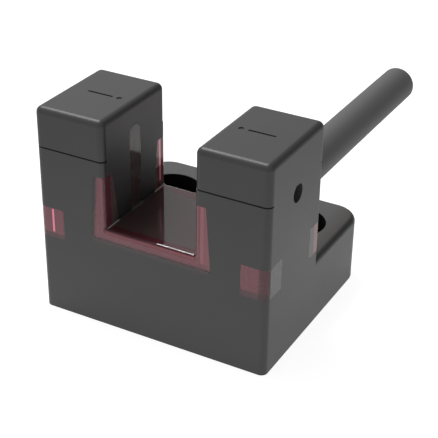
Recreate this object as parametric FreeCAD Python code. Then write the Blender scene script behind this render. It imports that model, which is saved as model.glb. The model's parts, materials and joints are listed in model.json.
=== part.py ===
import FreeCAD, Part
import math
import os

# Fork sensor: a through-beam light barrier in a two-shot moulded housing.
# A clear red body is moulded first, and the black shell is moulded round it,
# so that the red shows in the floor of the slot, in a band round the slot, in
# the two beam windows and in four indicator windows at the outer corners.
# X runs across the fork, Y from the front face back to the mounting flange
# and Z up. The origin is the centre of the footprint. Sizes are millimetres.

# Housing
slot_width = 14.6
prong_width = 11.5
prong_depth = 16.75
body_depth = 33.9
body_height = 33.2
slot_floor_height = 16.4
flange_height = 10.8
cap_height = 6.3
wall = 1.5
cap_roof = 1.4
edge_radius = 1.0
flange_corner_radius = 4.1
slot_edge_radius = 0.8
slot_corner_radius = 0.3

# Mounting holes for two M4 cap screws
hole_spacing = 22.4
hole_from_front = 25.0
screw_clearance_diameter = 4.4
counterbore_diameter = 9.4
counterbore_depth = 5.0
boss_wall = 2.0

# Red body: the band round the slot, its side strips and the beam windows
skin = 0.6
band_below_cap = 2.3
band_top_width = 1.85
band_bottom_width = 2.6
band_floor_thickness = 1.9
strip_top_width = 2.25
strip_bottom_width = 3.45
window_width = 2.9
window_below_top = 3.5
tongue_margin = 1.5
tongue_top_margin = 0.8

# Red body: indicator windows, light pipes and the bridges that carry them
indicator_below_floor = 3.9
indicator_height = 4.9
indicator_width = 4.2
front_indicator_depth = 4.3
rear_indicator_depth = 3.5
pipe_width = 1.6
pipe_height = 2.0
pipe_from_side = 2.6
pipe_end_gap = 0.5
bridge_thickness = 1.4

# Caps
groove_height = 0.22
groove_depth = 0.25
cap_gap = 0.04
tab_thickness = 0.8
tab_depth = 1.5
tab_gap = 0.05
tab_side_gap = 0.3
mark_length = 4.2
mark_width = 0.4
mark_depth = 0.15
mark_dot_diameter = 0.8
mark_dot_gap = 0.7

# Base cover
cover_thickness = 1.5
cover_ledge = 0.8
cover_gap = 0.05
cradle_length = 3.0
cradle_height = 1.6
cradle_from_middle = 8.0

# Circuit board, upright in the housing, with a leg up each prong
board_thickness = 1.0
board_gap = 0.2
board_floor_gap = 0.3
board_top_margin = 2.7
rail_depth = 0.9
rail_thickness = 0.9
rail_gap = 0.15
rail_foot_gap = 0.5
rail_end_gap = 0.6

# Beam optics
beam_below_top = 7.6
slit_plate_thickness = 0.3
slit_plate_depth = 4.4
slit_plate_height = 7.0
slit_width = 0.9
slit_height = 3.2
peg_diameter = 0.8
peg_length = 0.6
peg_gap = 0.05
peg_from_beam = 2.6
diode_depth = 4.4
diode_height = 4.5
diode_thickness = 1.8
diode_from_slot = 2.85
dome_radius = 1.4
dome_height = 0.6
lead_size = 0.45
lead_pitch = 2.54
lead_overhang = 0.4
lead_hole_diameter = 0.8

# Sensitivity trimmer behind the hole in the receiver prong
trimmer_size = 4.4
trimmer_length = 4.0
trimmer_face_gap = 0.4
adjuster_hole_diameter = 2.8
rotor_diameter = 3.0
rotor_thickness = 1.0
rotor_gap = 0.05
rotor_shaft_diameter = 1.2
rotor_shaft_length = 1.6
driver_slot_length = 2.5
driver_slot_width = 0.6
driver_slot_depth = 0.5
lug_radius = 1.85
lug_thickness = 0.4
lug_angle = 20.0
lug_direction = 90.0
stop_angle = 66.0
stop_direction = 270.0
trimmer_pin_size = 0.5
trimmer_pin_pitch = 2.4

# Cable with four cores
cable_diameter = 5.8
cable_bore_diameter = 3.7
cable_below_beam = 4.1
cable_stub_length = 44.0
cable_bend_from_back = 20.0
cable_droop = 0.4
arc_share_of_run = 0.45
core_diameter = 1.5
conductor_diameter = 0.75
core_end_length = 0.15
core_board_gap = 0.1
core_room = 1.55
conductor_overhang = 0.3
conductor_hole_gap = 0.1
core_names = ("core_brown", "core_white", "core_blue", "core_black")

# Grommet and crimp ring that hold the cable in the rear wall
grommet_wall_diameter = 7.0
grommet_inner_diameter = 7.8
grommet_outer_diameter = 8.2
grommet_inner_length = 1.0
grommet_gap = 0.2
grommet_outer_length = 0.9
crimp_diameter = 7.0
crimp_length = 1.0
cable_inside_length = 0.1

# Parts on the board: width along X, height along Z, thickness along Y
indicator_led_size = (1.25, 2.0, 0.7)
chip_size = (4.9, 3.9, 1.5)
chip_lead_count = 4
chip_lead_pitch = 1.27
chip_lead_size = (0.4, 1.0, 0.6)
small_package_size = (2.9, 1.3, 1.0)
small_lead_size = (0.4, 0.6, 0.4)
small_lead_pitch = 0.95
regulator_size = (4.5, 2.5, 1.5)
regulator_lead_pitch = 1.5
tantalum_size = (3.5, 2.8, 1.9)
chip_part_size = (1.6, 0.8, 0.6)
chip_part_pitch = 2.6
capacitor_count = 6
resistor_count = 8

# Places on the board. The controller chip stands above the row of capacitors.
# The other parts below the slot have a distance along X and a distance above
# the middle of the board's plate. The two on the legs have a distance along X
# and one below the cable.
chip_along = 0.0
chip_row_gap = 0.6
regulator_place = (8.4, 1.2)
tantalum_place = (13.2, 0.7)
transistor_places = ((-8.2, 1.8), (-8.2, -1.8))
driver_place = (-13.6, 1.6)
amplifier_place = (13.4, 2.8)
capacitor_row_gap = 0.5
resistor_row_gap = 0.5

# Planes that the sizes above lead to
slot_half = slot_width / 2
body_half = slot_half + prong_width
front = -body_depth / 2
back = body_depth / 2
prong_back = front + prong_depth
prong_middle = (front + prong_back) / 2
cap_bottom = body_height - cap_height
cavity_half = body_half - wall
cavity_front = front + wall
cavity_back = prong_back - wall
band_top = cap_bottom - band_below_cap
band_bottom = slot_floor_height - band_floor_thickness
band_top_half = slot_half + band_top_width
band_bottom_half = slot_half + band_bottom_width
window_top = body_height - window_below_top
indicator_bottom = slot_floor_height - indicator_below_floor
indicator_top = indicator_bottom + indicator_height
hole_depth_place = front + hole_from_front
beam_height = body_height - beam_below_top
cable_height = beam_height - cable_below_beam
cable_start = cavity_back - grommet_inner_length - crimp_length - cable_inside_length
board_back = cable_start - core_room
board_front = board_back - board_thickness
board_bottom = cover_thickness + board_gap
board_plate_top = band_bottom - board_floor_gap
board_plate_middle = (board_bottom + board_plate_top) / 2
board_half = cavity_half - board_gap
board_top = body_height - board_top_margin
leg_inner_half = band_bottom_half + board_floor_gap
prong_centre = slot_half + prong_width / 2
trimmer_depth_place = board_front - trimmer_size / 2
trimmer_face = cavity_half - trimmer_face_gap
cradle_top = cover_thickness + cradle_height
capacitor_row_height = cradle_top + capacitor_row_gap + chip_part_size[1] / 2
capacitor_row_top = capacitor_row_height + chip_part_size[1] / 2
chip_height_place = capacitor_row_top + chip_row_gap + chip_lead_size[1] + chip_size[1] / 2
resistor_row_height = board_plate_top - resistor_row_gap - chip_part_size[1] / 2

AXIS_X = FreeCAD.Vector(1, 0, 0)
AXIS_Y = FreeCAD.Vector(0, 1, 0)
AXIS_Z = FreeCAD.Vector(0, 0, 1)
ORIGIN = FreeCAD.Vector(0, 0, 0)
TINY = 1e-4
BEYOND = 5.0


def vector(x, y, z):
    return FreeCAD.Vector(x, y, z)


def block(x0, x1, y0, y1, z0, z1):
    """A box between two planes on each axis."""
    return Part.makeBox(x1 - x0, y1 - y0, z1 - z0, vector(x0, y0, z0))


def rod(centre, axis, diameter, length):
    """A round bar that starts at the centre point and runs along the axis."""
    return Part.makeCylinder(diameter / 2, length, centre, axis)


def swept(corners, travel):
    """A flat outline through the corners, swept along the travel."""
    outline = Part.makePolygon(corners + corners[:1])
    return Part.Face(outline).extrude(travel)


def swept_back(outline, y0, y1):
    """An outline of (x, z) points, swept from y0 to y1."""
    return swept([vector(x, y0, z) for x, z in outline], vector(0, y1 - y0, 0))


def swept_across(outline, x0, x1):
    """An outline of (y, z) points, swept from x0 to x1."""
    return swept([vector(x0, y, z) for y, z in outline], vector(x1 - x0, 0, 0))


def joined(*pieces):
    """The pieces as one solid with clean faces."""
    return pieces[0].fuse(list(pieces[1:])).removeSplitter()


def without(piece, *tools):
    """The piece with the tools cut away."""
    return piece.cut(list(tools))


def mirrored(piece):
    """The same piece on the other side of the fork."""
    return piece.mirror(ORIGIN, AXIS_X)


def rounded(piece, radius, wanted):
    """The piece with the edges that the test wants rounded."""
    return piece.makeFillet(radius, [edge for edge in piece.Edges if wanted(edge)])


def stands_at(edge, x, y):
    """Whether the edge is upright over the point x, y."""
    return all(abs(v.X - x) < TINY and abs(v.Y - y) < TINY for v in edge.Vertexes)


def lies_at(edge, z):
    """Whether the whole edge lies at the height z."""
    box = edge.BoundBox
    return abs(box.ZMin - z) < TINY and abs(box.ZMax - z) < TINY


def upright_outer(edge):
    """Whether the edge is one of the four upright outer edges of the prongs."""
    places = [(x, y) for x in (-body_half, body_half) for y in (front, prong_back)]
    return any(stands_at(edge, x, y) for x, y in places)


def slot_rim(edge):
    """Whether the edge belongs to the rim of the slot on the front or back."""
    box = edge.BoundBox
    flat = any(abs(box.YMin - y) < TINY and abs(box.YMax - y) < TINY for y in (front, prong_back))
    inside = max(abs(box.XMin), abs(box.XMax)) < slot_half + TINY
    below_top = box.ZMin < cap_bottom - TINY
    above_floor = box.ZMin > slot_floor_height - TINY
    return flat and inside and below_top and above_floor


def slot_space():
    """The slot between the prongs, with rounded corners at its floor."""
    space = block(-slot_half, slot_half, front - BEYOND, prong_back + BEYOND,
                  slot_floor_height, body_height + BEYOND)

    def floor_corner(edge):
        box = edge.BoundBox
        return lies_at(edge, slot_floor_height) and box.YLength > box.XLength

    return rounded(space, slot_corner_radius, floor_corner)


def fork_form():
    """The outer form up to the caps: the fork on its base, and the flange."""
    fork = block(-body_half, body_half, front, prong_back, 0, cap_bottom)
    fork = rounded(fork, edge_radius, upright_outer)
    fork = rounded(without(fork, slot_space()), slot_edge_radius, slot_rim)
    base = block(-body_half, body_half, front, back, 0, flange_height)
    base = rounded(base, flange_corner_radius,
                   lambda edge: any(stands_at(edge, x, back) for x in (-body_half, body_half)))
    base = rounded(base, edge_radius,
                   lambda edge: lies_at(edge, flange_height)
                   or any(stands_at(edge, x, front) for x in (-body_half, body_half)))
    return joined(fork, base)


def cable_hole():
    """The round hole that the grommet fills in the rear wall of the right prong."""
    return rod(vector(prong_centre, cavity_back, cable_height), AXIS_Y, grommet_wall_diameter,
               wall + BEYOND)


def cable_passage():
    """The room that the cable, its crimp ring and the grommet need inside the prong."""
    start = cable_start - grommet_gap
    inside = rod(vector(prong_centre, start, cable_height), AXIS_Y,
                 grommet_inner_diameter + 2 * grommet_gap, cavity_back - start)
    return joined(inside, cable_hole())


def beam_window(gap=0.0):
    """The window that the beam leaves by: a slot with a round top."""
    half = window_width / 2 + gap
    centre_height = window_top - window_width / 2
    straight = block(slot_half, slot_half + skin, prong_middle - half, prong_middle + half,
                     slot_floor_height, centre_height)
    top = rod(vector(slot_half, prong_middle, centre_height), AXIS_X, 2 * half, skin)
    return joined(straight, top)


def beam_tongue(gap=0.0):
    """The wall of the red body that stands behind the window in the black skin."""
    half = window_width / 2 + tongue_margin + gap
    return block(slot_half + skin, band_top_half + gap, prong_middle - half, prong_middle + half,
                 band_top - skin, window_top + tongue_top_margin + gap)


def skin_panel():
    """The black panel between the front and the rear strip of a prong's inner face."""
    outline = [
        (front + strip_bottom_width, slot_floor_height),
        (front + strip_top_width, band_top),
        (prong_back - strip_top_width, band_top),
        (prong_back - strip_bottom_width, slot_floor_height),
    ]
    return swept_across(outline, slot_half - slot_corner_radius, slot_half + skin)


def indicator_window(y0, y1):
    """One clear block at an outer corner of the right prong."""
    return block(body_half - indicator_width, body_half, y0, y1, indicator_bottom, indicator_top)


def indicator_light_path():
    """The blocks, the light pipe and the bridges on the right side."""
    front_block = indicator_window(front, front + front_indicator_depth)
    rear_block = indicator_window(prong_back - rear_indicator_depth, prong_back)
    middle = (indicator_bottom + indicator_top) / 2
    pipe_centre = body_half - pipe_from_side
    pipe_end = board_front - indicator_led_size[2] - pipe_end_gap
    pipe = block(pipe_centre - pipe_width / 2, pipe_centre + pipe_width / 2,
                 front + front_indicator_depth - skin, pipe_end,
                 middle - pipe_height / 2, middle + pipe_height / 2)
    bridge_end = body_half - indicator_width + skin
    front_bridge = block(slot_half, bridge_end, cavity_front, cavity_front + bridge_thickness,
                         band_bottom, slot_floor_height)
    rear_bridge = block(slot_half, bridge_end, cavity_back - bridge_thickness, cavity_back,
                        indicator_bottom, slot_floor_height)
    path = joined(front_block, rear_block, pipe, front_bridge, rear_bridge)
    return without(path, cable_passage())


def slit_plate_seat():
    """The flat that is cut in the red wall for the slit plate."""
    half_depth = slit_plate_depth / 2 + peg_gap
    half_height = slit_plate_height / 2 + peg_gap
    return block(band_top_half, band_bottom_half, prong_middle - half_depth,
                 prong_middle + half_depth, beam_height - half_height, beam_height + half_height)


def slit_plate_pegs(diameter, length):
    """Two round pegs, above and below the beam."""
    heights = (beam_height - peg_from_beam, beam_height + peg_from_beam)
    pegs = [rod(vector(band_top_half, prong_middle, z), AXIS_X, diameter, length) for z in heights]
    return joined(*pegs)


def red_body(form):
    """The first shot: all that is clear red, in one moulding."""
    outline = [
        (-band_bottom_half, band_bottom),
        (band_bottom_half, band_bottom),
        (band_top_half, band_top),
        (-band_top_half, band_top),
    ]
    band = swept_back(outline, front, prong_back).common(form)
    right_panel = skin_panel()
    band = without(band, right_panel, mirrored(right_panel), cable_passage())
    right_window = joined(beam_window(), beam_tongue())
    right_path = indicator_light_path()
    paths = joined(right_path, mirrored(right_path)).common(form)
    red = joined(band, right_window, mirrored(right_window), paths)
    seat = slit_plate_seat()
    red = without(red, seat, mirrored(seat))
    pegs = slit_plate_pegs(peg_diameter, peg_length)
    return joined(red, pegs, mirrored(pegs))


def fork_cavity():
    """The space inside the fork, from the base cover up to the caps."""
    outline = [
        (-cavity_half, 0),
        (cavity_half, 0),
        (cavity_half, cap_bottom),
        (band_top_half, cap_bottom),
        (band_top_half, band_top),
        (band_bottom_half, band_bottom),
        (-band_bottom_half, band_bottom),
        (-band_top_half, band_top),
        (-band_top_half, cap_bottom),
        (-cavity_half, cap_bottom),
    ]
    return swept_back(outline, cavity_front, cavity_back)


def flange_pocket_half():
    """Half the width of the pocket between the two screw bosses."""
    return hole_spacing / 2 - counterbore_diameter / 2 - boss_wall


def cover_outline(grow, z0, z1):
    """The plan of the opening in the underside, made larger by grow all round."""
    wide = block(-cavity_half - grow, cavity_half + grow, cavity_front - grow,
                 cavity_back + grow, z0, z1)
    half = flange_pocket_half() + grow
    narrow = block(-half, half, cavity_back - grow, back - wall + grow, z0, z1)
    return joined(wide, narrow)


def screw_hole(x):
    """A clearance hole with its counterbore from above."""
    through = rod(vector(x, hole_depth_place, -BEYOND), AXIS_Z, screw_clearance_diameter,
                  flange_height + 2 * BEYOND)
    bore = rod(vector(x, hole_depth_place, flange_height - counterbore_depth), AXIS_Z,
               counterbore_diameter, counterbore_depth + BEYOND)
    return joined(through, bore)


def board_rails():
    """Pairs of ribs on the outer walls that hold the edges of the board."""
    rails = []
    lower = (board_bottom + rail_foot_gap, indicator_bottom - rail_end_gap)
    upper = (indicator_top + rail_end_gap, beam_height - trimmer_size / 2 - rail_end_gap)
    for z0, z1 in (lower, upper):
        for y0 in (board_front - rail_gap - rail_thickness, board_back + rail_gap):
            rail = block(cavity_half - rail_depth, cavity_half + skin, y0, y0 + rail_thickness,
                         z0, z1)
            rails += [rail, mirrored(rail)]
    return rails


def housing_shell(form, red):
    """The second shot: the black shell round the red body."""
    pocket = block(-flange_pocket_half(), flange_pocket_half(), cavity_back, back - wall,
                   0, flange_height - wall)
    adjuster_hole = rod(vector(cavity_half - BEYOND, trimmer_depth_place, beam_height), AXIS_X,
                        adjuster_hole_diameter, 2 * BEYOND)
    holes = [screw_hole(side * hole_spacing / 2) for side in (-1, 1)]
    recess = cover_outline(cover_ledge, 0, cover_thickness)
    shell = without(form, fork_cavity(), pocket, recess, adjuster_hole, cable_passage(), *holes)
    shell = joined(shell, *board_rails())
    window = joined(beam_window(), beam_tongue(), slit_plate_seat())
    return without(shell, red, window, mirrored(window))


def cap_groove():
    """The fine groove round the front, the back and the corners of a cap's foot."""
    z0 = cap_bottom - BEYOND
    z1 = cap_bottom + groove_height
    outer = block(slot_half - BEYOND, body_half + BEYOND, front - BEYOND, prong_back + BEYOND,
                  z0, z1)
    inset = block(slot_half + groove_depth, body_half - groove_depth, front + groove_depth,
                  prong_back - groove_depth, z0, z1)
    inset = rounded(inset, edge_radius - groove_depth,
                    lambda edge: not lies_at(edge, z0) and not lies_at(edge, z1))
    between = block(slot_half - BEYOND, body_half + BEYOND, front + edge_radius,
                    prong_back - edge_radius, z0, z1)
    return without(outer, joined(inset, between))


def cap_mark():
    """A dash and a dot, engraved along the beam on top of a cap."""
    z0 = body_height - mark_depth
    dash = block(prong_centre - mark_length / 2, prong_centre + mark_length / 2,
                 prong_middle - mark_width / 2, prong_middle + mark_width / 2, z0,
                 body_height + BEYOND)
    dot_centre = prong_centre - mark_length / 2 - mark_dot_gap - mark_dot_diameter / 2
    dot = rod(vector(dot_centre, prong_middle, z0), AXIS_Z, mark_dot_diameter, BEYOND)
    return [dash, dot]


def prong_cap():
    """The cap of the right prong, with two tabs that plug into the shell."""
    cap = block(slot_half, body_half, front, prong_back, cap_bottom, body_height)
    cap = rounded(cap, edge_radius, lambda edge: not lies_at(edge, cap_bottom))
    cavity = block(band_top_half, cavity_half, cavity_front, cavity_back, cap_bottom,
                   body_height - cap_roof)
    cap = without(cap, cavity, cap_groove(), *cap_mark())
    tab_ends = (band_top_half + tab_side_gap, cavity_half - tab_side_gap)
    tabs = []
    for y0 in (cavity_front + tab_gap, cavity_back - tab_gap - tab_thickness):
        root = block(*tab_ends, y0, y0 + tab_thickness, cap_bottom - tab_depth,
                     body_height - cap_roof)
        tabs.append(root)
    cap = joined(cap, *tabs)
    window = joined(beam_window(cap_gap), beam_tongue(cap_gap))
    return without(cap, window, cable_passage())


def base_cover():
    """The plate that closes the underside, with two cradles under the board."""
    plate = cover_outline(cover_ledge - cover_gap, 0, cover_thickness)
    ribs = []
    for side in (-1, 1):
        x0 = side * cradle_from_middle - cradle_length / 2
        for y0 in (board_front - rail_gap - rail_thickness, board_back + rail_gap):
            ribs.append(block(x0, x0 + cradle_length, y0, y0 + rail_thickness, 0, cradle_top))
    return joined(plate, *ribs)


def core_offsets():
    """Where the four cores lie round the cable's own line."""
    reach = core_diameter / 2
    return [(-reach, -reach), (reach, -reach), (-reach, reach), (reach, reach)]


def circuit_board():
    """The board: a plate under the slot with a leg up each prong."""
    plate = block(-board_half, board_half, board_front, board_back, board_bottom, board_plate_top)
    leg = block(leg_inner_half, board_half, board_front, board_back, board_bottom, board_top)
    board = joined(plate, leg, mirrored(leg))
    holes = []
    for side in (-1, 1):
        x = side * (slot_half + diode_from_slot + diode_thickness / 2)
        for z in (beam_height - lead_pitch / 2, beam_height + lead_pitch / 2):
            holes.append(rod(vector(x, board_front, z), AXIS_Y, lead_hole_diameter,
                             board_thickness))
    for dx, dz in core_offsets():
        place = vector(prong_centre + dx, board_front, cable_height + dz)
        holes.append(rod(place, AXIS_Y, conductor_diameter + 2 * conductor_hole_gap,
                         board_thickness))
    for x, z in trimmer_pin_places():
        holes.append(rod(vector(x, board_front, z), AXIS_Y, lead_hole_diameter, board_thickness))
    return without(board, *holes)


def beam_diode():
    """Side-looking diode of the right prong: case, lens and two leads."""
    x0 = slot_half + diode_from_slot
    x1 = x0 + diode_thickness
    y1 = board_front - board_gap
    case = block(x0, x1, y1 - diode_depth, y1, beam_height - diode_height / 2,
                 beam_height + diode_height / 2)
    sphere_radius = (dome_radius ** 2 + dome_height ** 2) / (2 * dome_height)
    ball = Part.makeSphere(sphere_radius,
                           vector(x0 - dome_height + sphere_radius, prong_middle, beam_height))
    half = dome_radius + TINY
    lens_box = block(x0 - dome_height, x0 + skin, prong_middle - half, prong_middle + half,
                     beam_height - half, beam_height + half)
    lens = ball.common(lens_box)
    leads = []
    middle = (x0 + x1) / 2
    for z in (beam_height - lead_pitch / 2, beam_height + lead_pitch / 2):
        leads.append(block(middle - lead_size / 2, middle + lead_size / 2, y1 - skin,
                           board_back + lead_overhang, z - lead_size / 2, z + lead_size / 2))
    return joined(case, lens, *leads)


def slit_plate():
    """Thin plate with a slit that trims the beam, held by the two pegs."""
    plate = block(band_top_half, band_top_half + slit_plate_thickness,
                  prong_middle - slit_plate_depth / 2, prong_middle + slit_plate_depth / 2,
                  beam_height - slit_plate_height / 2, beam_height + slit_plate_height / 2)
    slit = block(slot_half, body_half, prong_middle - slit_width / 2,
                 prong_middle + slit_width / 2, beam_height - slit_height / 2,
                 beam_height + slit_height / 2)
    return without(plate, slit, slit_plate_pegs(peg_diameter + 2 * peg_gap, BEYOND))


def board_part(size, place, rear=False):
    """A rectangular part that sits on one face of the board."""
    width, height, thickness = size
    x, z = place
    y0 = board_back if rear else board_front - thickness
    return block(x - width / 2, x + width / 2, y0, y0 + thickness, z - height / 2,
                 z + height / 2)


def leaded_part(size, place, one_lead, pitch, above, below):
    """A package with rows of short leads above and below it."""
    height = size[1]
    width, reach, thickness = one_lead
    x, z = place
    pieces = [board_part(size, place)]
    for count, way in ((above, 1), (below, -1)):
        for index in range(count):
            lead_x = x + (index - (count - 1) / 2) * pitch
            lead_z = z + way * (height + reach) / 2
            pieces.append(board_part((width, reach, thickness), (lead_x, lead_z)))
    return joined(*pieces)


def below_slot(place):
    """A place on the plate under the slot, as a distance along X and a height."""
    x, above_middle = place
    return (x, board_plate_middle + above_middle)


def on_leg(place):
    """A place on one of the board's legs, as a distance along X and a height."""
    x, below_cable = place
    return (x, cable_height - below_cable)


def part_row(count, height):
    """A row of like chip parts, evenly spaced about the middle."""
    places = [((index - (count - 1) / 2) * chip_part_pitch, height) for index in range(count)]
    return Part.makeCompound([board_part(chip_part_size, place) for place in places])


def indicator_leds():
    """The four indicator diodes, each behind its window."""
    height = (indicator_bottom + indicator_top) / 2
    x = body_half - pipe_from_side
    return {
        "left_front_led": board_part(indicator_led_size, (-x, height)),
        "right_front_led": board_part(indicator_led_size, (x, height)),
        "left_rear_led": board_part(indicator_led_size, (-x, height), rear=True),
        "right_rear_led": board_part(indicator_led_size, (x, height), rear=True),
    }


def trimmer_pin_places():
    """The three pins of the trimmer: two low ones and one above."""
    x0 = trimmer_face - trimmer_length / 2
    half = trimmer_pin_pitch / 2
    return [(x0 - half, beam_height - half), (x0 + half, beam_height - half),
            (x0, beam_height + half)]


def sector(radius, middle_angle, opening, x0, x1):
    """A wedge about the trimmer's axis, as a tool for the lug and its stop."""
    centre = vector(x0, trimmer_depth_place, beam_height)
    corners = [centre]
    steps = (-opening / 2, 0, opening / 2)
    for step in steps:
        angle = math.radians(middle_angle + step)
        corners.append(vector(x0, trimmer_depth_place + 2 * radius * math.cos(angle),
                              beam_height + 2 * radius * math.sin(angle)))
    wedge = swept(corners, vector(x1 - x0, 0, 0))
    return wedge.common(rod(centre, AXIS_X, 2 * radius, x1 - x0))


def trimmer_body():
    """Case of the trimmer: bore, lug channel with its stop, and three pins."""
    half = trimmer_size / 2
    case = block(trimmer_face - trimmer_length, trimmer_face, trimmer_depth_place - half,
                 board_front, beam_height - half, beam_height + half)
    floor_x = trimmer_face - rotor_thickness
    axis_point = vector(floor_x - rotor_gap, trimmer_depth_place, beam_height)
    bore = rod(axis_point, AXIS_X, rotor_diameter + 2 * rotor_gap, BEYOND)
    channel = rod(axis_point, AXIS_X, 2 * (lug_radius + rotor_gap),
                  lug_thickness + 2 * rotor_gap)
    shaft_length = rotor_shaft_length + 2 * rotor_gap
    shaft_bore = rod(vector(floor_x - shaft_length, trimmer_depth_place, beam_height), AXIS_X,
                     rotor_shaft_diameter + 2 * rotor_gap, shaft_length)
    case = without(case, bore, channel, shaft_bore)
    stop = sector(lug_radius + 2 * rotor_gap, stop_direction, stop_angle, floor_x - rotor_gap,
                  floor_x + lug_thickness + rotor_gap)
    stop = without(stop, bore)
    pins = []
    for x, z in trimmer_pin_places():
        reach = trimmer_pin_size / 2
        pins.append(block(x - reach, x + reach, board_front - skin, board_back + lead_overhang,
                          z - reach, z + reach))
    return joined(case, stop, *pins)


def trimmer_rotor():
    """The rotor, with a driver slot, a shaft and the lug that meets the stop."""
    floor_x = trimmer_face - rotor_thickness
    disc = rod(vector(floor_x, trimmer_depth_place, beam_height), AXIS_X, rotor_diameter,
               rotor_thickness)
    shaft = rod(vector(floor_x - rotor_shaft_length, trimmer_depth_place, beam_height), AXIS_X,
                rotor_shaft_diameter, rotor_shaft_length)
    lug = sector(lug_radius, lug_direction, lug_angle, floor_x, floor_x + lug_thickness)
    driver_slot = block(trimmer_face - driver_slot_depth, trimmer_face + BEYOND,
                        trimmer_depth_place - driver_slot_width / 2,
                        trimmer_depth_place + driver_slot_width / 2,
                        beam_height - driver_slot_length / 2,
                        beam_height + driver_slot_length / 2)
    return without(joined(disc, shaft, lug), driver_slot)


def cable_route(start, beyond):
    """The cable's line: straight out of the prong, then a slight droop."""
    bend = vector(prong_centre, prong_back + cable_bend_from_back, cable_height)
    end = vector(prong_centre, prong_back + cable_stub_length, cable_height - cable_droop)
    end = end + (end - bend).normalize() * beyond
    return [vector(prong_centre, start, cable_height), bend, end]


def route_wire(points):
    """Straight runs joined by the largest tangent arc that both runs allow."""
    first, bend, last = points
    incoming = bend - first
    outgoing = last - bend
    turn = incoming.getAngle(outgoing)
    shorter = min(incoming.Length, outgoing.Length)
    setback = arc_share_of_run * shorter
    radius = setback / math.tan(turn / 2)
    incoming.normalize()
    outgoing.normalize()
    arc_start = bend - incoming * setback
    arc_end = bend + outgoing * setback
    middle_out = outgoing - incoming
    middle_out.normalize()
    arc_middle = bend + middle_out * (radius / math.cos(turn / 2) - radius)
    edges = [
        Part.LineSegment(first, arc_start).toShape(),
        Part.Arc(arc_start, arc_middle, arc_end).toShape(),
        Part.LineSegment(arc_end, last).toShape(),
    ]
    return Part.Wire(edges), radius


def tube_along(points, outer, bore, dx=0.0, dz=0.0):
    """A round tube, or a solid bar where the bore is zero, beside the route."""
    wire, radius = route_wire(points)
    start = points[0] + vector(dx, 0, dz)

    def swept_bar(diameter):
        ring = Part.Wire(Part.Circle(start, AXIS_Y, diameter / 2).toShape())
        return wire.makePipeShell([ring], True, False)

    bar = swept_bar(outer)
    if bore:
        bar = without(bar, swept_bar(bore))
    return bar.Solids[0], radius, wire.Length


def cable_parts():
    """The jacket, the four cores and their conductors."""
    parts = {}
    points = cable_route(cable_start, 0.0)
    jacket, radius, length = tube_along(points, cable_diameter, cable_bore_diameter)
    section = math.pi / 4 * (cable_diameter ** 2 - cable_bore_diameter ** 2)
    print("cable bend radius", round(radius, 1), "length", round(length, 2))
    print("jacket volume", round(jacket.Volume, 2), "section times length",
          round(section * length, 2))
    parts["cable_jacket"] = jacket
    core_start = board_back + core_board_gap
    conductor_start = board_front - conductor_overhang
    conductors = []
    for name, (dx, dz) in zip(core_names, core_offsets()):
        points = cable_route(core_start, core_end_length)
        parts[name] = tube_along(points, core_diameter, conductor_diameter, dx, dz)[0]
        points = cable_route(conductor_start, 2 * core_end_length)
        conductors.append(tube_along(points, conductor_diameter, 0.0, dx, dz)[0])
    parts["conductors"] = Part.makeCompound(conductors)
    return parts


def cable_grommet():
    """Elastic bush in the rear wall: a collar outside and a collar inside."""
    inner_start = cavity_back - grommet_inner_length
    inner = rod(vector(prong_centre, inner_start, cable_height), AXIS_Y,
                grommet_inner_diameter, grommet_inner_length)
    middle = rod(vector(prong_centre, cavity_back, cable_height), AXIS_Y,
                 grommet_wall_diameter, wall)
    outer = rod(vector(prong_centre, prong_back, cable_height), AXIS_Y,
                grommet_outer_diameter, grommet_outer_length)
    bore = rod(vector(prong_centre, inner_start, cable_height), AXIS_Y, cable_diameter,
               grommet_inner_length + wall + grommet_outer_length)
    return without(joined(inner, middle, outer), bore)


def crimp_ring():
    """Metal ring on the jacket that takes a pull on the cable."""
    start = vector(prong_centre, cavity_back - grommet_inner_length - crimp_length, cable_height)
    ring = rod(start, AXIS_Y, crimp_diameter, crimp_length)
    return without(ring, rod(start, AXIS_Y, cable_diameter, crimp_length))


def all_parts():
    """Every piece of the sensor, by its name."""
    form = fork_form()
    red = red_body(form)
    cap = prong_cap()
    diode = beam_diode()
    plate = slit_plate()
    transistors = [leaded_part(small_package_size, below_slot(place), small_lead_size,
                               small_lead_pitch, 1, 2) for place in transistor_places]
    parts = {
        "housing_shell": housing_shell(form, red),
        "light_body": red,
        "receiver_cap": cap,
        "emitter_cap": mirrored(cap),
        "base_cover": base_cover(),
        "circuit_board": circuit_board(),
        "receiver_diode": diode,
        "emitter_diode": mirrored(diode),
        "receiver_slit_plate": plate,
        "emitter_slit_plate": mirrored(plate),
        "controller_chip": leaded_part(chip_size, (chip_along, chip_height_place), chip_lead_size,
                                       chip_lead_pitch, chip_lead_count, chip_lead_count),
        "output_transistors": Part.makeCompound(transistors),
        "emitter_driver": leaded_part(small_package_size, on_leg(driver_place), small_lead_size,
                                      small_lead_pitch, 1, 2),
        "receiver_amplifier": leaded_part(small_package_size, on_leg(amplifier_place), small_lead_size,
                                          small_lead_pitch, 2, 3),
        "voltage_regulator": leaded_part(regulator_size, below_slot(regulator_place), small_lead_size,
                                         regulator_lead_pitch, 0, 3),
        "tantalum_capacitor": board_part(tantalum_size, below_slot(tantalum_place)),
        "chip_capacitors": part_row(capacitor_count, capacitor_row_height),
        "chip_resistors": part_row(resistor_count, resistor_row_height),
        "trimmer_body": trimmer_body(),
        "trimmer_rotor": trimmer_rotor(),
        "cable_grommet": cable_grommet(),
        "crimp_ring": crimp_ring(),
    }
    parts.update(indicator_leds())
    parts.update(cable_parts())
    return parts


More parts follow.
